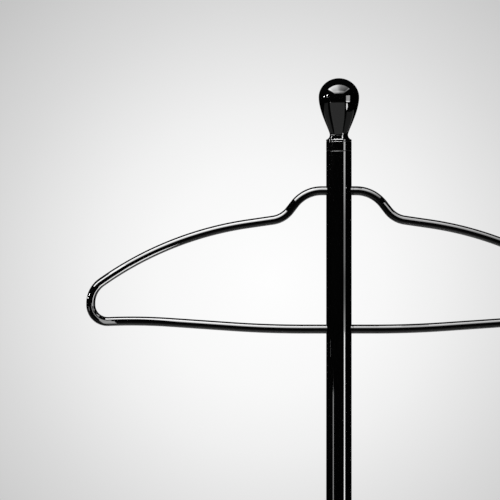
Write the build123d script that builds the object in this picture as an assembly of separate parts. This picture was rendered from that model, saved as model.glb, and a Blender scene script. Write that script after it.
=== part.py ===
from math import acos, degrees, radians, sin, tan
import os

from build123d import *

os.makedirs("parts", exist_ok=True)

# A free-standing valet stand: weighted round base, two-part post, bent-rod coat hanger, pear knob.
# Millimetres, +Z up. The origin is on the floor under the post's axis, and the hanger spans X.

# Overall height, floor to knob top
stand_height = 1100.0

# Gaps on the radius: sliding fits, threads and painted holes
slide_gap = 0.1
thread_gap = 0.1
hole_gap = 0.15

# Post tubes, and the rounding of turned and cut edges
post_diameter = 22.2
post_wall = 1.5
edge_round = 0.4
post_split_height = 540.0
joiner_length = 80.0
joiner_lead = 1.0

# Turned pear knob: elliptic crown above the girth, body down to the neck, cove out to the foot
knob_diameter = 35.3
crown_height = 16.6
quarter_pull = 0.5523
body_height = 32.7
body_fullness = 12.8
neck_diameter = 15.9
neck_pull = 3.7
cove_radius = 4.35
foot_height = 1.6

# Ring at the top of the post, with a spigot into the tube
ring_height = 8.3
spigot_length = 18.0

# Thread joining knob, ring and post
stud_diameter = 8.0
stud_in_ring = 20.0
stud_in_knob = 14.0
insert_diameter = 11.0
insert_length = 16.0

# Bent-rod hanger: depths are below the knob top, reaches are from the post's axis
rod_diameter = 7.9
rod_end_gap = 1.0
arch_depth = 98.0
arch_reach = 29.6
arch_bend = 29.8
shoulder_depth = 122.3
shoulder_reach = 48.4
shoulder_bend = 22.5
slope_depth = 136.7
slope_reach = 147.7
slope_bend = 294.0
tip_depth = 184.2
tip_reach = 216.0
tip_bend = 22.2
heel_depth = 212.3
heel_bend = 14.6
rail_rise = 1.4
rail_reach = 171.0
rail_bend = 486.0
bar_depth = 218.4
bar_reach = 61.3
bar_bend = 900.0
bend_room = 0.98

# Blocks inside the post that take the rod ends, and the grub screws at the back
block_length = 24.0
grub_diameter = 4.0
grub_spacing = 9.6
grub_recess = 0.4
grub_socket = 2.0
grub_socket_depth = 2.0
joiner_screw_offset = 20.0
joiner_screw_depth = 6.0

# Round base: pads, underplate, cast weight and spun cover
base_diameter = 300.0
pad_diameter = 22.0
pad_height = 3.0
pad_round = 0.8
pad_count = 6
pad_circle_radius = 122.0
cover_floor_gap = 1.5
cover_wall = 2.0
cover_height = 34.0
cover_shoulder_drop = 9.0
cover_shoulder_round = 12.0
cover_seat_diameter = 56.0
underplate_thickness = 1.5
underplate_gap = 0.5
weight_thickness = 15.0
weight_inset = 10.0
weight_hub_diameter = 46.0

# Bolt from below into the threaded plug at the foot of the post
bolt_diameter = 10.0
bolt_head_across = 16.0
bolt_head_height = 6.4
bolt_head_sink = 1.0
bolt_hole_gap = 0.3
bolt_pocket_diameter = 32.0
bolt_engagement = 20.0
spring_washer_diameter = 18.0
spring_washer_height = 2.2
spring_washer_slot = 2.0
flat_washer_diameter = 24.0
flat_washer_height = 2.0
foot_plug_length = 34.0
plug_bore_spare = 4.0

# Ring that dresses the foot of the post
rosette_diameter = 46.0
rosette_height = 16.0
rosette_lip = 3.0
rosette_top_wall = 2.0

# Pan-head screws that hold the underplate to the weight
plate_screw_count = 4
plate_screw_circle_radius = 85.0
plate_screw_diameter = 5.0
plate_screw_length = 10.0
plate_screw_head_diameter = 9.0
plate_screw_head_height = 2.0
plate_screw_round = 0.8

# Sizes and heights that follow from those above
post_radius = post_diameter / 2
bore_radius = post_radius - post_wall
inner_radius = bore_radius - slide_gap
rod_radius = rod_diameter / 2
stud_radius = stud_diameter / 2
grub_radius = grub_diameter / 2
bolt_radius = bolt_diameter / 2
washer_bore = bolt_radius + bolt_hole_gap
plate_screw_radius = plate_screw_diameter / 2
base_radius = base_diameter / 2
cover_bore = base_radius - cover_wall
knob_height = crown_height + body_height + cove_radius + foot_height
knob_bottom = stand_height - knob_height
post_top = knob_bottom - ring_height
arch_height = stand_height - arch_depth
bar_height = stand_height - bar_depth
grub_places = (-grub_spacing / 2, grub_spacing / 2)
joiner_screw_heights = (post_split_height - joiner_screw_offset, post_split_height + joiner_screw_offset)
weight_bottom = pad_height + underplate_thickness
bolt_head_bottom = weight_bottom + bolt_head_sink
spring_bottom = bolt_head_bottom + bolt_head_height
flat_bottom = spring_bottom + spring_washer_height
pocket_roof = flat_bottom + flat_washer_height
bolt_end = cover_height + bolt_engagement


# Upright cylinder between two heights
def disc(radius, bottom, top):
    return extrude(Plane.XY.offset(bottom) * Circle(radius), top - bottom)


def ring(outer, inner, bottom, top):
    return disc(outer, bottom, top) - disc(inner, bottom, top)


# Cylinder along Y, behind the post
def rear_rod(radius, x, height, near, far):
    return extrude(Plane.XZ.offset(-near) * Pos(x, height) * Circle(radius), near - far)


# Cylinder along X, through the post
def cross_rod(radius, height):
    return extrude(Plane.YZ.offset(-post_diameter) * Pos(0, height) * Circle(radius), 2 * post_diameter)


# Outline of radius and height, turned about the post's axis
def turned(edges):
    return revolve(Plane.XZ * make_face(edges), Axis.Z)


def round_rims(solid, size):
    return fillet(solid.edges().filter_by(GeomType.CIRCLE), size)


# Pear knob turned in one piece with its neck and flared foot
def finial_knob():
    girth_radius = knob_diameter / 2
    girth = stand_height - crown_height
    neck_radius = neck_diameter / 2
    neck = girth - body_height
    rim = post_radius - edge_round
    cove_turn = acos(1 - (rim - neck_radius) / cove_radius)
    lip = neck - cove_radius * sin(cove_turn) - edge_round
    foot = knob_bottom + edge_round
    crown_top = (quarter_pull * girth_radius, stand_height)
    crown_side = (girth_radius, girth + quarter_pull * crown_height)
    bulge = (girth_radius, girth - body_fullness)
    waist = (neck_radius, neck + neck_pull)
    outline = [
        Bezier((0, stand_height), crown_top, crown_side, (girth_radius, girth)),
        Bezier((girth_radius, girth), bulge, waist, (neck_radius, neck)),
        CenterArc((neck_radius + cove_radius, neck), cove_radius, 180, degrees(cove_turn)),
        CenterArc((rim, lip), edge_round, 0, 90),
        Line((post_radius, lip), (post_radius, foot)),
        CenterArc((rim, foot), edge_round, 270, 90),
        Line((rim, knob_bottom), (0, knob_bottom)),
        Line((0, knob_bottom), (0, stand_height)),
    ]
    return turned(outline) - disc(insert_diameter / 2 + slide_gap, knob_bottom, knob_bottom + insert_length)


# Threaded sleeve set into the knob from below
def knob_insert():
    return ring(insert_diameter / 2, stud_radius + thread_gap, knob_bottom, knob_bottom + insert_length)


# Threaded stud between knob and post
def finial_stud():
    return disc(stud_radius, knob_bottom - stud_in_ring, knob_bottom + stud_in_knob)


# Ring the width of the post, with a spigot that plugs the tube below it
def top_ring():
    collar = round_rims(disc(post_radius, post_top, knob_bottom), edge_round)
    collar += disc(inner_radius, post_top - spigot_length, knob_bottom)
    return collar - disc(stud_radius + thread_gap, post_top - spigot_length, knob_bottom)


# A bend takes up part of each run beside it, so two bends share a run that is too short for both
def roomy_bends(corners, bends):
    runs = [after - before for before, after in zip(corners, corners[1:])]
    turns = [before.get_angle(after) for before, after in zip(runs, runs[1:])]
    takes = [0] + [bend * tan(radians(turn / 2)) for bend, turn in zip(bends, turns)] + [0]
    shares = [min(1, bend_room * run.length / (takes[i] + takes[i + 1])) for i, run in enumerate(runs)]
    return [bend * min(shares[i], shares[i + 1]) for i, bend in enumerate(bends)]


# One bent rod: out of the post, over the arch, down the shoulder, round the tip and back along the bar
def right_hanger_arm():
    corner_places = [
        (rod_end_gap / 2, arch_depth),
        (arch_reach, arch_depth),
        (shoulder_reach, shoulder_depth),
        (slope_reach, slope_depth),
        (tip_reach, tip_depth),
        (tip_reach, heel_depth),
        (rail_reach, heel_depth - rail_rise),
        (bar_reach, bar_depth),
        (rod_end_gap / 2, bar_depth),
    ]
    corners = [Vector(reach, 0, stand_height - depth) for reach, depth in corner_places]
    bends = [arch_bend, shoulder_bend, slope_bend, tip_bend, heel_bend, rail_bend, bar_bend]
    path = FilletPolyline(*corners, radius=roomy_bends(corners, bends))
    return sweep((path ^ 0) * Circle(rod_radius), path)


# Solid block inside the post, drilled across for both rods and tapped at the back for two grub screws
def cross_block(height):
    block = disc(inner_radius, height - block_length / 2, height + block_length / 2)
    block -= cross_rod(rod_radius + slide_gap, height)
    for x in grub_places:
        block -= rear_rod(grub_radius + thread_gap, x, height, 0, post_diameter)
    return block


# Headless screw along Y, with a hexagon socket in its rear end
def grub_screw(x, height, tip, end):
    socket = Plane.XZ.offset(-end) * Pos(x, height) * RegularPolygon(grub_socket / 2, 6, major_radius=False)
    return rear_rod(grub_radius, x, height, tip, end) - extrude(socket, grub_socket_depth)


# Depth of the tube's face behind the axis at the outer side of a screw, less the screw's recess
def screw_end(x):
    return (post_radius**2 - (abs(x) + grub_radius) ** 2) ** 0.5 - grub_recess


def hanger_grub_screws():
    places = [(x, height) for height in (arch_height, bar_height) for x in grub_places]
    return [grub_screw(x, height, rod_radius, screw_end(x)) for x, height in places]


def joiner_grub_screws():
    tip = inner_radius - joiner_screw_depth
    return [grub_screw(0, height, tip, screw_end(0)) for height in joiner_screw_heights]


# Tube with softly rounded outer ends
def post_tube(bottom, top):
    return round_rims(disc(post_radius, bottom, top), edge_round) - disc(bore_radius, bottom, top)


# Upper tube, drilled across for the rods and at the back for the grub screws
def upper_post():
    post = post_tube(post_split_height, post_top)
    for height in (arch_height, bar_height):
        post -= cross_rod(rod_radius + hole_gap, height)
        for x in grub_places:
            post -= rear_rod(grub_radius + hole_gap, x, height, 0, post_diameter)
    return post - rear_rod(grub_radius + hole_gap, 0, joiner_screw_heights[1], 0, post_diameter)


def lower_post():
    post = post_tube(cover_height, post_split_height)
    return post - rear_rod(grub_radius + hole_gap, 0, joiner_screw_heights[0], 0, post_diameter)


# Solid pin that lines up the two tubes
def post_joiner():
    pin = disc(inner_radius, post_split_height - joiner_length / 2, post_split_height + joiner_length / 2)
    pin = chamfer(pin.edges().filter_by(GeomType.CIRCLE), joiner_lead)
    tip = inner_radius - joiner_screw_depth
    for height in joiner_screw_heights:
        pin -= rear_rod(grub_radius + thread_gap, 0, height, tip, post_diameter)
    return pin


# Threaded plug in the foot of the lower tube
def foot_plug():
    plug = disc(inner_radius, cover_height, cover_height + foot_plug_length)
    return plug - disc(bolt_radius + thread_gap, cover_height, bolt_end + plug_bore_spare)


# Turned ring over the foot of the post: a flat lip, then a cove up to a narrow top
def post_rosette():
    bore = post_radius + hole_gap
    rim = rosette_diameter / 2
    neck = bore + rosette_top_wall
    lip = cover_height + rosette_lip
    top = cover_height + rosette_height
    outline = [
        Line((bore, cover_height), (rim, cover_height)),
        Line((rim, cover_height), (rim, lip)),
        EllipticalCenterArc((rim, top), rim - neck, top - lip, start_angle=180, arc_size=90),
        Line((neck, top), (bore, top)),
        Line((bore, top), (bore, cover_height)),
    ]
    return turned(outline)


# Solid under one face of the spun cover: straight skirt, rounded shoulder, shallow cone and flat seat
def cover_form(radius, top, shoulder_round):
    seat = cover_seat_diameter / 2
    shoulder = top - cover_shoulder_drop
    skirt = [(0, cover_floor_gap), (radius, cover_floor_gap), (radius, shoulder)]
    outline = Polyline(*skirt, (seat, top), (0, top), close=True)
    form = turned(outline.edges())
    circles = form.edges().filter_by(GeomType.CIRCLE)
    rims = circles.filter_by_position(Axis.Z, shoulder - edge_round, shoulder + edge_round)
    return fillet(rims, shoulder_round)


def base_cover():
    shell = cover_form(base_radius, cover_height, cover_shoulder_round)
    shell -= cover_form(cover_bore, cover_height - cover_wall, cover_shoulder_round - cover_wall)
    return shell - disc(washer_bore, cover_floor_gap, cover_height)


# Cast disc with a hub up to the cover's seat and a pocket below for the bolt head
def base_weight():
    weight = disc(cover_bore - weight_inset, weight_bottom, weight_bottom + weight_thickness)
    weight += disc(weight_hub_diameter / 2, weight_bottom, cover_height - cover_wall)
    weight -= disc(bolt_pocket_diameter / 2, weight_bottom, pocket_roof)
    weight -= disc(washer_bore, pocket_roof, cover_height)
    screw_end_height = pad_height + plate_screw_length
    for place in PolarLocations(plate_screw_circle_radius, plate_screw_count):
        weight -= place * disc(plate_screw_radius + thread_gap, weight_bottom, screw_end_height)
    return weight


def base_bolt():
    head = Plane.XY.offset(bolt_head_bottom) * RegularPolygon(bolt_head_across / 2, 6, major_radius=False)
    return extrude(head, bolt_head_height) + disc(bolt_radius, bolt_head_bottom, bolt_end)


# Split ring under the bolt head
def base_spring_washer():
    from_axis = (Align.MIN, Align.CENTER, Align.CENTER)
    slot = Box(spring_washer_diameter, spring_washer_slot, 2 * spring_washer_height, align=from_axis)
    washer = ring(spring_washer_diameter / 2, washer_bore, spring_bottom, flat_bottom)
    return washer - Pos(0, 0, spring_bottom) * slot


def base_flat_washer():
    return ring(flat_washer_diameter / 2, washer_bore, flat_bottom, pocket_roof)


# Pressed plate that closes the base, open in the middle to reach the bolt
def base_underplate():
    plate = ring(cover_bore - underplate_gap, bolt_pocket_diameter / 2, pad_height, weight_bottom)
    for place in PolarLocations(plate_screw_circle_radius, plate_screw_count):
        plate -= place * disc(plate_screw_radius + hole_gap, pad_height, weight_bottom)
    return plate


def underplate_screws():
    head = disc(plate_screw_head_diameter / 2, pad_height - plate_screw_head_height, pad_height)
    head = fillet(head.edges().group_by(Axis.Z)[0], plate_screw_round)
    screw = head + disc(plate_screw_radius, pad_height, pad_height + plate_screw_length)
    return [place * screw for place in PolarLocations(plate_screw_circle_radius, plate_screw_count)]


def base_pads():
    pad = disc(pad_diameter / 2, 0, pad_height)
    pad = fillet(pad.edges().group_by(Axis.Z)[0], pad_round)
    return [place * pad for place in PolarLocations(pad_circle_radius, pad_count)]


right_arm = right_hanger_arm()

nodes = {
    "finial_knob": finial_knob(),
    "knob_insert": knob_insert(),
    "finial_stud": finial_stud(),
    "top_ring": top_ring(),
    "upper_post": upper_post(),
    "left_hanger_arm": mirror(right_arm, Plane.YZ),
    "right_hanger_arm": right_arm,
    "upper_cross_block": cross_block(arch_height),
    "lower_cross_block": cross_block(bar_height),
    "hanger_grub_screws": Compound(children=hanger_grub_screws()),
    "post_joiner": post_joiner(),
    "joiner_grub_screws": Compound(children=joiner_grub_screws()),
    "lower_post": lower_post(),
    "foot_plug": foot_plug(),
    "post_rosette": post_rosette(),
    "base_cover": base_cover(),
    "base_weight": base_weight(),
    "base_bolt": base_bolt(),
    "base_spring_washer": base_spring_washer(),
    "base_flat_washer": base_flat_washer(),
    "base_underplate": base_underplate(),
    "underplate_screws": Compound(children=underplate_screws()),
    "base_pads": Compound(children=base_pads()),
}

for name, shape in nodes.items():
    export_step(shape, f"parts/{name}.step")
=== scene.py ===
from math import acos, atan2, cos, degrees, hypot, pi, radians, sin, tan

import bmesh
import bpy
from mathutils import Matrix, Vector


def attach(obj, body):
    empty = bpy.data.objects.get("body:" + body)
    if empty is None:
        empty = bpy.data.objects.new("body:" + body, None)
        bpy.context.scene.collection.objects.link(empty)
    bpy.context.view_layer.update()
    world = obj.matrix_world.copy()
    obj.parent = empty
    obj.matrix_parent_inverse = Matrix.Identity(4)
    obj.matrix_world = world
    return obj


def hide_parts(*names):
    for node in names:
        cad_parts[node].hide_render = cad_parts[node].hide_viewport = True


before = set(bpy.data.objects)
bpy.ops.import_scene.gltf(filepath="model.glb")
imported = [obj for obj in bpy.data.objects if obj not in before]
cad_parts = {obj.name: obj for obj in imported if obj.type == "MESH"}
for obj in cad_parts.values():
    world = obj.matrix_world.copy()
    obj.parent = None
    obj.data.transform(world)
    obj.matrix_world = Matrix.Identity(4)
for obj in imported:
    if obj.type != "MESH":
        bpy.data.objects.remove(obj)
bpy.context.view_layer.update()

# Metres in a millimetre: sizes below are in millimetres, meshes in metres
MM = 0.001

# Post and knob
stand_height = 1100.0
edge_round = 0.4
post_radius = 11.1
post_bore = 9.6
plug_radius = 9.5
post_split = 540.0
knob_radius = 17.65
crown_height = 16.6
crown_pull = 0.5523
body_height = 32.7
body_fullness = 12.8
neck_radius = 7.95
neck_pull = 3.7
cove_radius = 4.35
foot_height = 1.6
insert_bore = 5.6
insert_length = 16.0
ring_height = 8.3
spigot_length = 18.0
stud_bore = 4.1

# Bent rods: corners as reach from the axis, depth below the top and bend radius
rod_radius = 3.95
rod_hole = 4.1
arch_depth = 98.0
bar_depth = 218.4
tip_reach = 216.0
heel_depth = 212.3
rod_end = 0.5
rod_corners = [
    (rod_end, arch_depth, 0.0),
    (29.6, arch_depth, 29.8),
    (48.4, 122.3, 22.5),
    (147.7, 136.7, 294.0),
    (tip_reach, 184.2, 22.2),
    (tip_reach, heel_depth, 14.6),
    (171.0, heel_depth - 1.4, 486.0),
    (61.3, bar_depth, 900.0),
    (rod_end, bar_depth, 0.0),
]

# Grub screws in the back of the post
grub_radius = 2.0
grub_hole = 2.15
grub_offset = 4.8
grub_recess = 0.4
grub_socket = 2.0
grub_socket_depth = 2.0
thread_pitch = 0.7
thread_depth = 0.25
crest_start = 0.35
crest_end = 0.65
joiner_screw_offset = 20.0
joiner_screw_tip = 3.5

# Round base
base_radius = 150.0
cover_floor_gap = 1.5
cover_wall = 2.0
cover_height = 34.0
shoulder_drop = 9.0
shoulder_round = 12.0
seat_radius = 28.0
cover_bolt_hole = 5.3
rosette_radius = 23.0
rosette_height = 16.0
rosette_lip = 3.0
rosette_top_wall = 2.0
rosette_bore = 11.25
pad_radius = 11.0
pad_height = 3.0
pad_round = 0.8
pad_count = 6
pad_circle = 122.0
plate_screw_count = 4
plate_screw_circle = 85.0
plate_screw_radius = 2.5
plate_screw_length = 10.0
plate_screw_head = 4.5
plate_screw_head_height = 2.0
plate_screw_round = 0.8
plate_screw_chamfer = 1.0
cross_recess_reach = 2.5
cross_recess_width = 0.55
cross_recess_depth = 1.2

# Fineness of turned and swept pieces
around = 128
cover_around = 192
screw_around = 48
plate_screw_around = 96
pad_around = 64
drill_around = 48
rod_around = 48
bend_steps = 40
arc_steps = 14
rim_steps = 6
crown_steps = 40
body_steps = 60
hollow_steps = 24
shoulder_steps = 20
sharp_angle = 32
long_straight = 4.0
prop_gap = 0.15
merge_distance = 0.0001

# Photograph's framing: its scale, and where the stand's axis and top lie in it
image_size = 500
mm_per_pixel = 0.8706
axis_pixel = 338.9
top_pixel = 78.2
camera_distance = 2400.0
sensor_mm = 36.0

# Heights and reaches that follow from those sizes
knob_height = crown_height + body_height + cove_radius + foot_height
knob_bottom = stand_height - knob_height
post_top = knob_bottom - ring_height
arch_height = stand_height - arch_depth
bar_height = stand_height - bar_depth
rod_heights = (arch_height, bar_height)
drill_reach = 2.5 * post_radius


# Outlines are lists of (radius, height)
def arc(centre, radius, start, end, steps=arc_steps):
    angles = [radians(start + (end - start) * i / steps) for i in range(steps + 1)]
    return [(centre[0] + radius * cos(a), centre[1] + radius * sin(a)) for a in angles]


def bezier(p0, p1, p2, p3, steps):
    points = []
    for i in range(steps + 1):
        t = i / steps
        u = 1 - t
        weights = (u**3, 3 * u * u * t, 3 * u * t * t, t**3)
        points.append(tuple(sum(w * p[k] for w, p in zip(weights, (p0, p1, p2, p3))) for k in (0, 1)))
    return points


# Outline with a point close to both ends of every long straight, so that its shading stays straight
def propped(outline, closed):
    points = []
    for i, (r, z) in enumerate(outline):
        points.append((r, z))
        next_r, next_z = outline[(i + 1) % len(outline)]
        if callable(r) or callable(next_r) or (i + 1 == len(outline) and not closed):
            continue
        length = hypot(next_r - r, next_z - z)
        if length > long_straight:
            for along in (prop_gap / length, 1 - prop_gap / length):
                points.append((r + (next_r - r) * along, z + (next_z - z) * along))
    return points


# Mesh turned about the Z axis: a closed outline makes a ring, one that starts and ends on the axis a solid
def turned(name, outline, closed=False, segments=around):
    verts = []
    rows = []
    for r, z in propped(outline, closed):
        if r == 0:
            rows.append([len(verts)] * segments)
            verts.append((0, 0, z * MM))
            continue
        rows.append(list(range(len(verts), len(verts) + segments)))
        for k in range(segments):
            a = 2 * pi * k / segments
            reach = (r(a) if callable(r) else r) * MM
            verts.append((reach * cos(a), reach * sin(a), z * MM))
    pairs = list(zip(rows, rows[1:]))
    if closed:
        pairs.append((rows[-1], rows[0]))
    faces = []
    for low, high in pairs:
        for k in range(segments):
            n = (k + 1) % segments
            corners = [low[k], low[n], high[n], high[k]]
            face = [v for i, v in enumerate(corners) if v != corners[i - 1]]
            if len(face) > 2:
                faces.append(face)
    mesh = bpy.data.meshes.new(name)
    mesh.from_pydata(verts, [], faces)
    return finished(name, mesh)


# A piece's object: doubles merged, faces outwards, smooth between sharp edges
def finished(name, mesh):
    shape = bmesh.new()
    shape.from_mesh(mesh)
    bmesh.ops.remove_doubles(shape, verts=shape.verts, dist=merge_distance * MM)
    bmesh.ops.recalc_face_normals(shape, faces=shape.faces)
    shape.to_mesh(mesh)
    shape.free()
    smooth(mesh)
    piece = bpy.data.objects.new(name, mesh)
    bpy.context.collection.objects.link(piece)
    return piece


def smooth(mesh):
    mesh.shade_smooth()
    mesh.set_sharp_from_angle(angle=radians(sharp_angle))


def dress(piece, material, slot, *replaced):
    piece.data.materials.clear()
    piece.data.materials.append(material)
    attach(piece, "root")
    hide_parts(*replaced)


# Where most of a noise's values lie
usual_noise = (0.3, 0.7)


# Adds nodes to a tree, each by one call that takes numbers or other nodes' outputs
class Tree:
    def __init__(self, tree):
        self.tree = tree

    def add(self, kind, settings=None, **inputs):
        node = self.tree.nodes.new(kind)
        for key, value in (settings or {}).items():
            setattr(node, key, value)
        for key, value in inputs.items():
            self.feed(node, key.replace("_", " "), value)
        return node

    def feed(self, node, key, value):
        socket = next(s for s in node.inputs if s.name.lower() == key.lower() and s.enabled)
        self.join(value, socket)

    def join(self, value, socket):
        if isinstance(value, bpy.types.NodeSocket):
            self.tree.links.new(value, socket)
        else:
            socket.default_value = value

    def where(self):
        return out(self.add("ShaderNodeTexCoord"), "Object")

    def edges(self, low, high):
        return self.span(out(self.add("ShaderNodeNewGeometry"), "Pointiness"), low, high)

    def noise(self, where, scale, detail=2.0, roughness=0.5):
        node = self.add("ShaderNodeTexNoise", Vector=where, Scale=scale, Detail=detail, Roughness=roughness)
        return out(node, "Fac")

    def span(self, value, low, high, to_low=0.0, to_high=1.0):
        node = self.add("ShaderNodeMapRange", Value=value)
        for key, number in zip(("From Min", "From Max", "To Min", "To Max"), (low, high, to_low, to_high)):
            node.inputs[key].default_value = number
        return out(node)

    def spread(self, noise, low, high):
        return self.span(noise, *usual_noise, low, high)

    def math(self, operation, first, second):
        node = self.add("ShaderNodeMath", {"operation": operation})
        self.join(first, node.inputs[0])
        self.join(second, node.inputs[1])
        return out(node)

    def tint(self, factor, first, second):
        node = self.add("ShaderNodeMix", {"data_type": "RGBA"})
        self.feed(node, "Factor", factor)
        colours = [s for s in node.inputs if s.type == "RGBA"]
        self.join(first, colours[0])
        self.join(second, colours[1])
        return next(s for s in node.outputs if s.type == "RGBA")

    def bump(self, height, strength, distance):
        node = self.add("ShaderNodeBump", Height=height)
        node.inputs["Strength"].default_value = strength
        node.inputs["Distance"].default_value = distance
        return out(node)

    def mix(self, factor, first, second):
        node = self.add("ShaderNodeMixShader")
        for value, socket in zip((factor, first, second), node.inputs):
            self.join(value, socket)
        return out(node)

    def ramp(self, value, stops):
        node = self.add("ShaderNodeValToRGB", Fac=value)
        elements = node.color_ramp.elements
        while len(elements) < len(stops):
            elements.new(1.0)
        for element, (place, grey) in zip(elements, stops):
            element.position = place
            element.color = (grey, grey, grey, 1)
        return out(node, "Color")

    def close(self, shader, kind="ShaderNodeOutputMaterial"):
        self.tree.links.new(shader, self.add(kind).inputs["Surface"])


def out(node, name=None):
    return next(s for s in node.outputs if s.enabled and name in (None, s.name))


def new_material(name):
    material = bpy.data.materials.new(name)
    material.use_nodes = True
    material.node_tree.nodes.clear()
    return material, Tree(material.node_tree)


def surface(t, colour, roughness, normal, metal=0.0):
    shader = t.add("ShaderNodeBsdfPrincipled", Base_Color=colour, Roughness=roughness, Normal=normal)
    shader.inputs["Metallic"].default_value = metal
    t.close(out(shader))
    return shader


def grey(level, warmth=0.0):
    return (level * (1 + warmth), level, level * (1 - warmth), 1)


# Sprayed black lacquer under a clear coat: polishing haze, faint ripple and a film worn thin on edges
def black_lacquer(name, haze, clear):
    material, t = new_material(name)
    where = t.where()
    edge = t.edges(0.52, 0.62)
    dust = t.span(t.noise(where, scale=2600, detail=2, roughness=0.6), 0.72, 0.82)
    pigment = t.tint(t.noise(where, scale=55, detail=4), grey(0.0008), grey(0.0016, warmth=-0.03))
    dusty = t.tint(dust, pigment, grey(0.004))
    colour = t.tint(edge, dusty, grey(0.009))
    polish = t.spread(t.noise(where, scale=38, detail=4), *haze)
    edge_wear = 0.06
    worn = t.math("ADD", polish, t.math("MULTIPLY", edge, edge_wear))
    ripple = t.bump(t.noise(where, scale=150, detail=1, roughness=0.4), strength=0.006, distance=0.0002)
    shader = surface(t, colour, worn, ripple)
    shader.inputs["Coat Weight"].default_value = clear
    shader.inputs["Coat Roughness"].default_value = 0.03
    return material


# Turned or plated metal: patches of tone, tool rings, fine grain and rubbed edges
def bright_metal(name, fresh, dull, rubbed, rough):
    material, t = new_material(name)
    where = t.where()
    edge = t.edges(0.51, 0.58)
    patches = t.span(t.noise(where, scale=120, detail=4, roughness=0.6), 0.35, 0.7)
    grain = t.noise(where, scale=1800, detail=3)
    tool = t.add("ShaderNodeTexWave", {"bands_direction": "Z"}, Vector=where, Scale=900.0, Distortion=0.6)
    colour = t.tint(edge, t.tint(patches, fresh, dull), rubbed)
    relief = t.bump(t.math("ADD", grain, out(tool, "Fac")), strength=0.12, distance=0.00004)
    surface(t, colour, t.spread(grain, *rough), relief, metal=1.0)
    return material


# Black-oxide steel: dark film with oil streaks, bare where corners rub
def black_oxide(name):
    material, t = new_material(name)
    where = t.where()
    edge = t.edges(0.52, 0.6)
    streaks = t.span(t.noise(where, scale=700, detail=4, roughness=0.6), 0.35, 0.7)
    film = t.tint(streaks, grey(0.014, warmth=-0.05), grey(0.04, warmth=0.04))
    grain = t.noise(where, scale=3000, detail=2)
    relief = t.bump(grain, strength=0.15, distance=0.00003)
    surface(t, t.tint(edge, film, grey(0.2)), t.spread(grain, 0.32, 0.5), relief, metal=0.85)
    return material


# Cast iron: sand-cast skin with pits and specks of rust
def cast_iron(name):
    material, t = new_material(name)
    where = t.where()
    skin = t.noise(where, scale=260, detail=6, roughness=0.65)
    pits = t.add("ShaderNodeTexVoronoi", Vector=where, Scale=420.0)
    specks = t.span(t.noise(where, scale=45, detail=5, roughness=0.65), 0.56, 0.72)
    rust = (0.11, 0.045, 0.02, 1)
    colour = t.tint(specks, t.tint(skin, grey(0.05), grey(0.12)), rust)
    height = t.math("ADD", skin, t.span(out(pits, "Distance"), 0.0, 0.4))
    relief = t.bump(height, strength=0.5, distance=0.0003)
    surface(t, colour, t.spread(skin, 0.6, 0.85), relief, metal=0.35)
    return material


# Satin powder coat: pebbled film, with scuffs and a greyer rim
def satin_coat(name):
    material, t = new_material(name)
    where = t.where()
    edge = t.edges(0.52, 0.62)
    pebble = t.noise(where, scale=1300, detail=2, roughness=0.4)
    scuff = t.span(t.noise(where, scale=90, detail=6, roughness=0.7), 0.6, 0.75)
    colour = t.tint(edge, t.tint(scuff, grey(0.012), grey(0.028)), grey(0.07))
    rough = t.span(t.math("ADD", pebble, scuff), 0.3, 1.4, to_low=0.42, to_high=0.62)
    surface(t, colour, rough, t.bump(pebble, strength=0.25, distance=0.00008))
    return material


# Moulded rubber: matt, finely grained, with dust in the grain
def moulded_rubber(name):
    material, t = new_material(name)
    where = t.where()
    grain = t.noise(where, scale=1600, detail=3, roughness=0.55)
    bloom = t.span(t.noise(where, scale=130, detail=4), 0.4, 0.75)
    colour = t.tint(bloom, grey(0.014), grey(0.034, warmth=0.03))
    surface(t, colour, t.spread(grain, 0.7, 0.92), t.bump(grain, strength=0.3, distance=0.00006))
    return material


gloss_lacquer = black_lacquer("gloss black lacquer", haze=(0.03, 0.06), clear=1.0)
knob_polish = black_lacquer("polished black knob", haze=(0.025, 0.05), clear=0.6)
zinc_plate = bright_metal(
    "zinc plated steel",
    fresh=grey(0.62, warmth=-0.02),
    dull=grey(0.45, warmth=0.03),
    rubbed=grey(0.75),
    rough=(0.24, 0.42),
)
brass = bright_metal(
    "brass",
    fresh=(0.72, 0.5, 0.2, 1),
    dull=(0.5, 0.33, 0.13, 1),
    rubbed=(0.85, 0.64, 0.3, 1),
    rough=(0.18, 0.34),
)
dark_steel = black_oxide("blackened steel")
iron = cast_iron("grey cast iron")
plate_coat = satin_coat("satin black plate")
rubber = moulded_rubber("black rubber")


# Pieces turned on the lathe
def knob_piece():
    girth = stand_height - crown_height
    neck = girth - body_height
    rim = post_radius - edge_round
    cove_turn = acos(1 - (rim - neck_radius) / cove_radius)
    lip = neck - cove_radius * sin(cove_turn) - edge_round
    socket = knob_bottom + insert_length
    crown_top = (crown_pull * knob_radius, stand_height)
    crown_side = (knob_radius, girth + crown_pull * crown_height)
    bulge = (knob_radius, girth - body_fullness)
    waist = (neck_radius, neck + neck_pull)
    outline = bezier((0, stand_height), crown_top, crown_side, (knob_radius, girth), crown_steps)
    outline += bezier((knob_radius, girth), bulge, waist, (neck_radius, neck), body_steps)[1:]
    outline += arc((neck_radius + cove_radius, neck), cove_radius, 180, 180 + degrees(cove_turn))[1:]
    outline += arc((rim, lip), edge_round, 90, 0, rim_steps)
    outline += arc((rim, knob_bottom + edge_round), edge_round, 0, -90, rim_steps)
    outline += [(insert_bore, knob_bottom), (insert_bore, socket), (0, socket)]
    return turned("pear_knob", outline)


# Outer face of a tube or ring, rounded at both ends
def rounded_face(top, bottom):
    rim = post_radius - edge_round
    face = arc((rim, top - edge_round), edge_round, 90, 0, rim_steps)
    return face + arc((rim, bottom + edge_round), edge_round, 0, -90, rim_steps)


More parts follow.
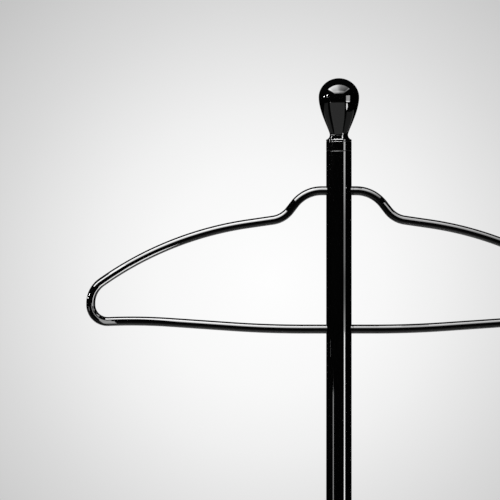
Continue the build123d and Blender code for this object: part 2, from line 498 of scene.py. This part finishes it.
def ring_piece():
    spigot = post_top - spigot_length
    bore = [(stud_bore, spigot), (stud_bore, knob_bottom)]
    plug = [(plug_radius, post_top), (plug_radius, spigot)]
    return turned("post_ring", rounded_face(knob_bottom, post_top) + plug + bore, closed=True)


# Round bit along X through the whole tube, or along Y through its back alone
def drill_bit(radius, axis, x, height):
    outline = [(0, -drill_reach), (radius, -drill_reach), (radius, drill_reach), (0, drill_reach)]
    bit = turned("drill bit", outline, segments=drill_around)
    turn = Matrix.Rotation(pi / 2, 4, "Y" if axis == "X" else "X")
    shift = Matrix.Translation((x * MM, 0 if axis == "X" else drill_reach * MM, height * MM))
    bit.data.transform(shift @ turn)
    return bit


# Tube with its drilled holes
def post_piece(name, bottom, top, holes):
    wall = rounded_face(top, bottom) + [(post_bore, bottom), (post_bore, top)]
    tube = turned(name, wall, closed=True)
    for hole in holes:
        bit = drill_bit(*hole)
        cut = tube.modifiers.new("drill", "BOOLEAN")
        cut.operation = "DIFFERENCE"
        cut.solver = "EXACT"
        cut.object = bit
        drilled = bpy.data.meshes.new_from_object(tube.evaluated_get(bpy.context.evaluated_depsgraph_get()))
        tube.modifiers.clear()
        tube.data = drilled
        bpy.data.objects.remove(bit)
    smooth(tube.data)
    return tube


def rosette_piece():
    neck = rosette_bore + rosette_top_wall
    lip = cover_height + rosette_lip
    top = cover_height + rosette_height
    outline = [(rosette_bore, cover_height), (rosette_radius, cover_height), (rosette_radius, lip)]
    for r, z in arc((0, 0), 1, 270, 180, hollow_steps)[1:]:
        outline.append((rosette_radius + (rosette_radius - neck) * r, top + (top - lip) * z))
    return turned("post_rosette_ring", outline + [(rosette_bore, top)], closed=True)


# Outer or inner face of the spun cover, from the skirt up to the seat
def cover_face(radius, top, bend):
    slope = atan2(shoulder_drop, radius - seat_radius)
    take = bend * tan((pi / 2 - slope) / 2)
    centre = (radius - bend, top - shoulder_drop - take)
    shoulder = arc(centre, bend, 0, 90 - degrees(slope), shoulder_steps)
    return [(radius, cover_floor_gap)] + shoulder + [(seat_radius, top)]


def cover_piece():
    outer = cover_face(base_radius, cover_height, shoulder_round)
    inner = cover_face(base_radius - cover_wall, cover_height - cover_wall, shoulder_round - cover_wall)
    hole = [(cover_bolt_hole, cover_height), (cover_bolt_hole, cover_height - cover_wall)]
    return turned("base_dome", outer + hole + inner[::-1], closed=True, segments=cover_around)


# Runs a node tree on an object and keeps the result as a plain mesh
def made_by_tree(name, source, tree, settings):
    modifier = source.modifiers.new(tree.name, "NODES")
    modifier.node_group = tree
    for key, value in settings.items():
        modifier[key] = value
    bpy.context.view_layer.update()
    mesh = bpy.data.meshes.new_from_object(source.evaluated_get(bpy.context.evaluated_depsgraph_get()))
    source.modifiers.clear()
    bpy.data.objects.remove(source)
    return finished(name, mesh)


def new_tree(name, *inputs):
    tree = bpy.data.node_groups.new(name, "GeometryNodeTree")
    sockets = [tree.interface.new_socket(label, in_out="INPUT", socket_type=kind) for label, kind in inputs]
    tree.interface.new_socket("Geometry", in_out="OUTPUT", socket_type="NodeSocketGeometry")
    return tree, Tree(tree), [s.identifier for s in sockets]


# Ends a tree with its instances made real and its material set
def close_tree(t, shape, material):
    whole = t.add("GeometryNodeRealizeInstances", Geometry=shape)
    coated = t.add("GeometryNodeSetMaterial", Geometry=out(whole), Material=material)
    end = t.add("NodeGroupOutput")
    t.tree.links.new(out(coated), end.inputs["Geometry"])


# Bent rod: a line of corners, rounded by the bend kept at each corner and swept with a round section
def bent_rod_tree(material):
    tree, t, keys = new_tree(
        "bent rod",
        ("Corner line", "NodeSocketGeometry"),
        ("Rod radius", "NodeSocketFloat"),
        ("Sides", "NodeSocketInt"),
        ("Bend steps", "NodeSocketInt"),
    )
    start = t.add("NodeGroupInput")
    line = t.add("GeometryNodeMeshToCurve", Mesh=out(start, "Corner line"))
    bend = t.add("GeometryNodeInputNamedAttribute", {"data_type": "FLOAT"}, Name="bend")
    path = t.add("GeometryNodeFilletCurve", {"mode": "POLY"}, Curve=out(line))
    t.feed(path, "Radius", out(bend, "Attribute"))
    t.feed(path, "Count", out(start, "Bend steps"))
    section = t.add("GeometryNodeCurvePrimitiveCircle", Resolution=out(start, "Sides"))
    t.feed(section, "Radius", out(start, "Rod radius"))
    tube = t.add("GeometryNodeCurveToMesh", Curve=out(path), Profile_Curve=out(section), Fill_Caps=True)
    close_tree(t, out(tube), material)
    return tree, dict(zip(keys[1:], (rod_radius * MM, rod_around, bend_steps)))


def corner_line(name, corners, side):
    mesh = bpy.data.meshes.new(name)
    points = [(side * reach * MM, 0, (stand_height - depth) * MM) for reach, depth, bend in corners]
    mesh.from_pydata(points, [(i, i + 1) for i in range(len(points) - 1)], [])
    bends = mesh.attributes.new("bend", "FLOAT", "POINT")
    bends.data.foreach_set("value", [bend * MM for reach, depth, bend in corners])
    source = bpy.data.objects.new(name, mesh)
    bpy.context.collection.objects.link(source)
    return source


# Copies of one piece, each at a point of a list of places
def set_of(name, piece, places, material):
    tree, t, keys = new_tree(name, ("Places", "NodeSocketGeometry"), ("Piece", "NodeSocketObject"))
    start = t.add("NodeGroupInput")
    shape = t.add("GeometryNodeObjectInfo", Object=out(start, "Piece"))
    copies = t.add("GeometryNodeInstanceOnPoints", Points=out(start, "Places"))
    t.feed(copies, "Instance", out(shape, "Geometry"))
    close_tree(t, out(copies), material)
    mesh = bpy.data.meshes.new(name)
    mesh.from_pydata([[value * MM for value in place] for place in places], [], [])
    source = bpy.data.objects.new(name, mesh)
    bpy.context.collection.objects.link(source)
    copied = made_by_tree(name, source, tree, {keys[1]: piece})
    bpy.data.objects.remove(piece)
    return copied


def ring_of_places(count, radius):
    angles = [2 * pi * i / count for i in range(count)]
    return [(radius * cos(a), radius * sin(a), 0) for a in angles]


# Radius of a hexagon socket, and of a cross recess, at an angle about the screw
def hexagon(angle):
    return grub_socket / 2 / cos(angle % (pi / 3) - pi / 6)


def cross(angle):
    off_arm = sin(abs((angle + pi / 4) % (pi / 2) - pi / 4))
    if off_arm * cross_recess_reach <= cross_recess_width:
        return cross_recess_reach
    return cross_recess_width / off_arm


# Headless screw along Y from its tip to its socket, with a threaded side
def grub_screw(tip, end):
    root = grub_radius - thread_depth
    outline = [(0, tip), (root, tip)]
    turns = int((end - tip) / thread_pitch)
    pitch = (end - tip) / turns
    for i in range(turns):
        low = tip + i * pitch
        outline.append((grub_radius, low + crest_start * pitch))
        outline.append((grub_radius, low + crest_end * pitch))
        outline.append((root, low + pitch))
    outline += [(hexagon, end), (hexagon, end - grub_socket_depth), (0, end - grub_socket_depth)]
    screw = turned("grub screw", outline, segments=screw_around)
    screw.data.transform(Matrix.Rotation(-pi / 2, 4, "X"))
    return screw


# Depth of the tube's face at the outer side of a screw, less the screw's recess
def screw_end(x):
    return (post_radius**2 - (abs(x) + grub_radius) ** 2) ** 0.5 - grub_recess


# Pan-head screw with a cross recess, head down
def plate_screw():
    face = pad_height - plate_screw_head_height
    corner = plate_screw_head - plate_screw_round
    outline = [(0, face + cross_recess_depth), (cross, face + cross_recess_depth), (cross, face)]
    outline += arc((corner, face + plate_screw_round), plate_screw_round, 270, 360, rim_steps)
    outline += [(plate_screw_head, pad_height), (plate_screw_radius, pad_height)]
    end = pad_height + plate_screw_length
    point = plate_screw_radius - plate_screw_chamfer
    outline += [(plate_screw_radius, end - plate_screw_chamfer), (point, end), (0, end)]
    return turned("plate screw", outline, segments=plate_screw_around)


def pad():
    corner = pad_radius - pad_round
    outline = [(0, 0)] + arc((corner, pad_round), pad_round, 270, 360, rim_steps)
    return turned("pad", outline + [(pad_radius, pad_height), (0, pad_height)], segments=pad_around)


# The stand's pieces, each in the place of its solid
dress(knob_piece(), knob_polish, "gloss_black_knob", "finial_knob")
dress(ring_piece(), gloss_lacquer, "gloss_black_lacquer", "top_ring")

upper_holes = [(grub_hole, "Y", 0, post_split + joiner_screw_offset)]
lower_holes = [(grub_hole, "Y", 0, post_split - joiner_screw_offset)]
for height in rod_heights:
    upper_holes.append((rod_hole, "X", 0, height))
    upper_holes += [(grub_hole, "Y", x, height) for x in (-grub_offset, grub_offset)]
upper_tube = post_piece("upper_post_tube", post_split, post_top, upper_holes)
lower_tube = post_piece("lower_post_tube", cover_height, post_split, lower_holes)
dress(upper_tube, gloss_lacquer, "gloss_black_lacquer", "upper_post")
dress(lower_tube, gloss_lacquer, "gloss_black_lacquer", "lower_post")
dress(rosette_piece(), gloss_lacquer, "gloss_black_lacquer", "post_rosette")
dress(cover_piece(), gloss_lacquer, "gloss_black_lacquer", "base_cover")

rod_tree, rod_settings = bent_rod_tree(gloss_lacquer)
for side, sign in (("left", -1), ("right", 1)):
    line = corner_line(f"{side} corners", rod_corners, sign)
    rod = made_by_tree(f"{side}_bent_rod", line, rod_tree, rod_settings)
    dress(rod, gloss_lacquer, "gloss_black_lacquer", f"{side}_hanger_arm")

hanger_places = [(x, 0, height) for height in rod_heights for x in (-grub_offset, grub_offset)]
hanger_screw = grub_screw(rod_radius, screw_end(grub_offset))
hanger_screws = set_of("hanger_socket_screws", hanger_screw, hanger_places, dark_steel)
dress(hanger_screws, dark_steel, "blackened_steel", "hanger_grub_screws")
joiner_places = [(0, 0, post_split + offset) for offset in (-joiner_screw_offset, joiner_screw_offset)]
joiner_screw = grub_screw(joiner_screw_tip, screw_end(0))
joiner_screws = set_of("joiner_socket_screws", joiner_screw, joiner_places, dark_steel)
dress(joiner_screws, dark_steel, "blackened_steel", "joiner_grub_screws")
plate_places = ring_of_places(plate_screw_count, plate_screw_circle)
plate_screws = set_of("underplate_cross_screws", plate_screw(), plate_places, zinc_plate)
dress(plate_screws, zinc_plate, "zinc_plated_steel", "underplate_screws")
pads = set_of("rubber_pads", pad(), ring_of_places(pad_count, pad_circle), rubber)
dress(pads, rubber, "black_rubber", "base_pads")

# Inner pieces keep their solids' shapes and get their finish
finishes = {
    "knob_insert": brass,
    "finial_stud": zinc_plate,
    "upper_cross_block": zinc_plate,
    "lower_cross_block": zinc_plate,
    "post_joiner": zinc_plate,
    "foot_plug": zinc_plate,
    "base_bolt": zinc_plate,
    "base_spring_washer": zinc_plate,
    "base_flat_washer": zinc_plate,
    "base_weight": iron,
    "base_underplate": plate_coat,
}
for node, material in finishes.items():
    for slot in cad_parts[node].material_slots:
        slot.material = material


# Camera as in the photograph: level, square to the hanger
def add_camera():
    data = bpy.data.cameras.new("camera")
    data.sensor_width = sensor_mm
    data.lens = sensor_mm * camera_distance / (image_size * mm_per_pixel)
    camera = bpy.data.objects.new("camera", data)
    bpy.context.collection.objects.link(camera)
    half = image_size / 2
    x = (half - axis_pixel) * mm_per_pixel
    z = stand_height - (half - top_pixel) * mm_per_pixel
    camera.location = (x * MM, -camera_distance * MM, z * MM)
    camera.rotation_euler = (pi / 2, 0, 0)
    bpy.context.scene.camera = camera


# Backdrop glow: grey by distance of a ray from the middle of the glow
glow_middle = Vector((0.0073, 1.0, -0.0109)).normalized()
glow_stops = [(0, 0.991), (0.0406, 0.939), (0.062, 0.871), (0.082, 0.783)]
glow_stops += [(0.1005, 0.70), (0.141, 0.545), (0.3, 0.48)]
room_fill = 0.35
dark_room = 0.0015
backdrop_in_gloss = 0.75
backdrop_edge = (0.965, 0.995)


# Matt surfaces see a pale room, the camera the glow, gloss a dark room with a pale backdrop behind
def add_world():
    world = bpy.data.worlds.new("studio")
    bpy.context.scene.world = world
    world.use_nodes = True
    world.node_tree.nodes.clear()
    t = Tree(world.node_tree)
    ray = out(t.add("ShaderNodeTexCoord"), "Generated")
    glow = t.add("ShaderNodeVectorMath", {"operation": "DISTANCE"})
    t.join(ray, glow.inputs[0])
    t.join(glow_middle, glow.inputs[1])
    seen = t.add("ShaderNodeBackground", Color=t.ramp(out(glow, "Value"), glow_stops))
    depth = out(t.add("ShaderNodeSeparateXYZ", Vector=ray), "Y")
    behind = t.span(depth, *backdrop_edge, dark_room, backdrop_in_gloss)
    mirrored = t.add("ShaderNodeBackground", Strength=behind)
    fill = t.add("ShaderNodeBackground", Strength=room_fill)
    path = t.add("ShaderNodeLightPath")
    unseen = t.mix(out(path, "Is Glossy Ray"), out(fill), out(mirrored))
    t.close(t.mix(out(path, "Is Camera Ray"), unseen, out(seen)), "ShaderNodeOutputWorld")


# Lights, sheets and floor are measured in metres, and an even panel glows alike all over
even = [(0.0, 1.0), (1.0, 1.0)]

# Where the lights to the right and to the left stand on the floor plan
right_light = (0.996, -0.836)
left_light = (-2.02, -1.47)


def below(place):
    return (*place[:2], 0)


def aimed(place, target):
    return (Vector(target) - Vector(place)).to_track_quat("-Z", "Y").to_euler()


# Soft lamp for matt surfaces
def add_softbox(name, place, target, size, power):
    data = bpy.data.lights.new(name, "AREA")
    data.size = size
    data.energy = power
    lamp = bpy.data.objects.new(name, data)
    bpy.context.collection.objects.link(lamp)
    lamp.location = place
    lamp.rotation_euler = aimed(place, target)
    lamp.visible_glossy = False
    lamp.visible_camera = False


def flat_piece(name, corners):
    mesh = bpy.data.meshes.new(name)
    mesh.from_pydata(corners, [], [range(len(corners))])
    piece = bpy.data.objects.new(name, mesh)
    bpy.context.collection.objects.link(piece)
    return piece


def show_in_gloss(piece, material):
    piece.data.materials.append(material)
    piece.visible_camera = False
    piece.visible_diffuse = False
    piece.visible_transmission = False
    piece.visible_shadow = False


# Glowing panel that shows only in gloss: its strength runs across and along it by two lists of stops
def add_panel(name, place, target, size, strength, across=even, along=even, turn=0.0):
    w = size[0] / 2
    h = size[1] / 2
    panel = flat_piece(name, [(-w, -h, 0), (w, -h, 0), (w, h, 0), (-w, h, 0)])
    panel.location = place
    panel.rotation_euler = aimed(place, target)
    panel.rotation_euler.z += turn
    material, t = new_material(name)
    spot = t.add("ShaderNodeSeparateXYZ", Vector=t.where())
    first = t.ramp(t.span(out(spot, "X"), -w, w), across)
    second = t.ramp(t.span(out(spot, "Y"), -h, h), along)
    level = t.math("MULTIPLY", t.math("MULTIPLY", first, second), strength)
    t.close(out(t.add("ShaderNodeEmission", Strength=level)))
    show_in_gloss(panel, material)


# Upright panel that faces the post at its own height
def add_upright_panel(name, place, size, strength, along=even):
    add_panel(name, place, (0, 0, place[2]), size, strength, along=along)


# Sheet that glows to gloss on its front and is clear from behind: without strength it is a black shade
def add_sheet(name, corners, strength=0.0):
    sheet = flat_piece(name, corners)
    material, t = new_material(name)
    light = t.add("ShaderNodeEmission", Strength=strength)
    clear = t.add("ShaderNodeBsdfTransparent")
    behind = out(t.add("ShaderNodeNewGeometry"), "Backfacing")
    t.close(t.mix(behind, out(light), out(clear)))
    show_in_gloss(sheet, material)


# Corners run clockwise in their plane: a level sheet then faces down, a side one left, a front one back
def rectangle(low, high):
    return [low, (low[0], high[1]), high, (high[0], low[1])]


def level_sheet(z, corners):
    return [(x, y, z) for x, y in corners]


def side_sheet(x, corners):
    return [(x, y, z) for y, z in corners]


def front_sheet(y, corners):
    return [(x, y, z) for x, z in corners]


# Part of a level ring about the post, facing down
def ring_sheet(z, inner, outer, start, end):
    return level_sheet(z, arc((0, 0), inner, start, end) + arc((0, 0), outer, end, start))


# Level directions from the post to a light, and across that line
def directions(light):
    run = Vector((*light, 0)).normalized()
    return run, Vector((-run.y, run.x, 0))


# Level strip between the post and a light, facing down
def strip_sheet(z, light, start, end, half_width):
    run, aside = directions(light)
    corners = [(start, 1), (end, 1), (end, -1), (start, -1)]
    return [run * along + aside * half_width * side + Vector((0, 0, z)) for along, side in corners]


# Sheets beside the knob, in millimetres: corners lie across and above the middle of the sheet
knob_sheet_lean = 0.7
knob_sheet_middle = 1075.0
knob_pane_distance = 42.0
knob_shade_distance = 42.5


# Sheet between knob and light that faces the knob and leans out, so that the rods below see its clear back
def knob_side_sheet(light, distance, corners):
    run, aside = directions(light)
    points = []
    for across, up in corners:
        height = Vector((0, 0, knob_sheet_middle + up))
        reach = distance + knob_sheet_lean * up
        points.append((run * reach + aside * across + height) * MM)
    return points


# Large panels and small lamps of the studio
def add_studio_lights():
    add_softbox("overhead softbox", (-0.5, -0.7, 2.4), (0, 0, 0.4), size=1.6, power=35)
    roof_across = [(0, 0.8), (0.15, 0.9), (0.4, 0.95), (0.47, 0.9)]
    roof_across += [(0.52, 0.8), (0.6, 0.55), (0.7, 0.49), (1, 0.15)]
    roof_along = [(0, 0.06), (0.35, 0.42), (0.59, 0.62), (0.8, 0.8), (0.95, 1), (1, 1)]
    roof = (-0.035, -0.88, 1.68)
    roof_size = (1.43, 1.54)
    add_panel("overhead panel", roof, below(roof), roof_size, 15.5, across=roof_across, along=roof_along)
    right_along = [(0, 0.34), (0.024, 0.28), (0.065, 0.15), (0.106, 0.11), (0.147, 0.18)]
    right_along += [(0.229, 0.21), (0.341, 0.5), (0.545, 0.45), (0.894, 0.4), (1, 0.18)]
    right_size = (0.36, 0.66)
    add_upright_panel("right panel", (*right_light, 1.17), right_size, strength=10, along=right_along)
    add_upright_panel("low right strip", (*right_light, 0.65), size=(0.25, 0.38), strength=10)
    add_upright_panel("left strip", (*left_light, 0.5), size=(0.35, 0.4), strength=2.8)
    knob_middle = (0, 0, 1.08)
    add_panel("front left lamp", (-1.9, -0.62, 1.38), knob_middle, size=(0.2, 0.14), strength=60)
    add_panel("left lamp", (-2, 0.12, 1.2), knob_middle, size=(0.2, 0.05), strength=90)


# What the rods' gloss sees close by: glowing sheets, and shades where a streak ends
def add_hanger_sheets():
    roof = rectangle((-0.46, -0.271), (-0.285, -0.089))
    add_sheet("left roof sheet", level_sheet(1.085, roof), strength=12.5)
    arm = [(-0.17, 0.7), (-0.17, 0.79), (-0.11, 0.818), (-0.065, 0.843)]
    arm += [(-0.045, 0.818), (-0.05, 0.79), (-0.05, 0.7)]
    add_sheet("arm sheet", side_sheet(-0.1, arm), strength=9.5)
    tip = rectangle((-0.047, 0.88), (-0.028, 0.905))
    add_sheet("tip sheet", side_sheet(-0.166, tip), strength=9)
    shoulder = rectangle((0.058, -0.065), (0.08, -0.02))
    add_sheet("right shoulder sheet", level_sheet(1.006, shoulder), strength=4.5)
    bend = rectangle((-0.4, 0.935), (-0.008, 1.15))
    add_sheet("bend shade", side_sheet(-0.18, bend))
    bar_end = [(-0.2, 0.9035), (-0.1995, 0.893), (-0.1965, 0.889), (-0.194, 0.85)]
    bar_end += [(-0.214, 0.85), (-0.214, 0.88), (-0.2085, 0.893), (-0.2065, 0.9035)]
    add_sheet("bar end sheet", front_sheet(-0.03, bar_end), strength=3.6)
    over_bar = [(-0.1365, 0.909), (-0.1365, 0.905), (-0.212, 0.905), (-0.212, 0.968)]
    over_bar += [(-0.177, 0.968), (-0.164, 0.955), (-0.1555, 0.942), (-0.147, 0.928)]
    add_sheet("bar end shade", front_sheet(-0.06, over_bar))


# Shades that keep rods and strips out of the gloss of the post and the base
def add_post_and_base_shades():
    beside_post = 0.0125
    flank = rectangle((-0.0105, 0.872), (0.006, 1.008))
    add_sheet("left post shade", side_sheet(-beside_post, flank[::-1]))
    add_sheet("right post shade", side_sheet(beside_post, flank))
    right_strip = strip_sheet(0.44, right_light, start=0.3, end=1.32, half_width=0.2)
    add_sheet("right base shade", right_strip)
    left_strip = strip_sheet(0.28, left_light, start=0.8, end=2.45, half_width=0.25)
    add_sheet("left base shade", left_strip)


# What the knob's gloss sees close by: a pale wedge in front, and panes and shades at its sides
def add_knob_sheets():
    # The wedge's corners run the other way round, so it faces up
    wedge = [(-0.009, -0.006), (-0.154, -0.108), (-0.095, -0.14), (-0.031, -0.16)]
    wedge += [(0.03, -0.16), (0.085, -0.148), (0.031, -0.038), (0.009, -0.009)]
    add_sheet("knob sheet", level_sheet(1.035, wedge), strength=0.36)
    shade = [(35, 29), (30, -13), (-9.5, -15), (-24, 29)]
    add_sheet("knob side shade", knob_side_sheet(right_light, knob_shade_distance, shade))
    pane = [(3, 14.5), (0.5, 0), (-13, -1), (-15.5, 13)]
    add_sheet("knob side pane", knob_side_sheet(right_light, knob_pane_distance, pane), strength=4.5)
    edge = [(0.5, 0), (1, -1.5), (-12.5, -3), (-13, -1)]
    add_sheet("knob pane edge", knob_side_sheet(right_light, knob_pane_distance, edge), strength=11)
    streak = [(-7, -4.5), (-4.5, -9), (-5.5, -12.5), (-7, -13), (-9, -9.5), (-11, -5)]
    add_sheet("knob side streak", knob_side_sheet(right_light, knob_pane_distance, streak), strength=12)
    strip = [(15, 4.5), (13.5, -2), (7, -2.5), (4.5, -6.5), (-0.5, -6.5), (1.5, 5.5)]
    add_sheet("knob strip shade", knob_side_sheet(left_light, knob_pane_distance, strip))


# What the gloss below the knob sees close by: a shade under the neck, and glints at neck and lip
def add_neck_sheets():
    shade_level = 1.0512
    glint_level = 1.0511
    lip_level = 1.0471
    rim = 0.011
    add_sheet("neck shade", ring_sheet(shade_level, 0.0081, rim, start=190, end=350))
    add_sheet("left neck glint", ring_sheet(glint_level, 0.0095, rim, start=198, end=204), strength=9)
    add_sheet("right neck glint", ring_sheet(glint_level, 0.0085, rim, start=293, end=299), strength=14)
    add_sheet("lip glint", ring_sheet(lip_level, 0.01115, 0.0119, start=242, end=288), strength=80)


# Grey gauze over the knob, denser to the right, that dims what its gloss sees overhead
def add_knob_gauze():
    height = 1.13
    fade = 0.035
    corners = rectangle((-0.045, -0.07), (0.045, -0.003))
    gauze = flat_piece("knob gauze", level_sheet(height, corners))
    material, t = new_material("knob gauze")
    spot = t.add("ShaderNodeSeparateXYZ", Vector=t.where())
    stops = [(0, 0.75), (0.35, 0.65), (0.5, 0.42), (0.65, 0.32), (1, 0.25)]
    shade = t.ramp(t.span(out(spot, "X"), -fade, fade), stops)
    t.close(out(t.add("ShaderNodeBsdfTransparent", Color=shade)))
    show_in_gloss(gauze, material)


# Dim sheet on the floor in gloss: one edge runs out from the post at an angle, dark along that edge
def add_floor_shade(name, angle, side, dark_width):
    length = 4.4
    width = 3.0
    start = 0.2
    lift = 0.01
    brightening = 0.12
    far_level = 0.6
    strength = 0.16
    run = Vector((sin(radians(angle)), -cos(radians(angle)), 0))
    aside = Vector((-run.y, run.x, 0)) * side
    place = run * (start + length / 2) + aside * width / 2 + Vector((0, 0, lift))
    dark = dark_width / width
    shade = [(0, 0), (dark, 0), (dark + brightening, 1), (1, far_level)]
    if side < 0:
        shade = [(1 - where, level) for where, level in reversed(shade)]
    add_panel(name, place, below(place), (width, length), strength, shade, turn=radians(angle))


# What gloss sees of the floor: dark far in front, brighter towards the stand
def add_floor_panels():
    front = (0, -2.2, 0.008)
    floor_along = [(0, 0.05), (0.7, 0.05), (0.75, 0.1), (0.84, 0.35), (0.91, 0.75), (1, 0.9)]
    add_panel("front floor", front, below(front), size=(8, 4.4), strength=0.36, along=floor_along)
    add_floor_shade("left floor shade", angle=-62, side=-1, dark_width=0.5)
    add_floor_shade("right floor shade", angle=42, side=1, dark_width=0.3)


# Pale floor that fades into the backdrop: early for the camera, at its rim in gloss
def add_floor():
    reach = 4.5
    rim_fade = (0.84 * reach, 0.88 * reach)
    camera_fade = (0.25, 1.9)
    paint_level = 0.72
    bpy.ops.mesh.primitive_circle_add(vertices=around, radius=reach, fill_type="NGON")
    floor = bpy.context.object
    floor.name = "studio_floor"
    material, t = new_material("pale studio floor")
    far = t.add("ShaderNodeVectorMath", {"operation": "LENGTH"})
    t.join(t.where(), far.inputs[0])
    rim = t.span(out(far, "Value"), *rim_fade)
    early = t.span(out(far, "Value"), *camera_fade)
    seen = t.math("MULTIPLY", early, out(t.add("ShaderNodeLightPath"), "Is Camera Ray"))
    paint = t.add("ShaderNodeBsdfDiffuse", Color=grey(paint_level))
    clear = t.add("ShaderNodeBsdfTransparent")
    t.close(t.mix(t.math("MAXIMUM", rim, seen), out(paint), out(clear)))
    floor.data.materials.append(material)


add_camera()
add_world()
add_studio_lights()
add_hanger_sheets()
add_post_and_base_shades()
add_knob_sheets()
add_neck_sheets()
add_knob_gauze()
add_floor_panels()
add_floor()
bpy.context.scene.view_settings.view_transform = "Standard"
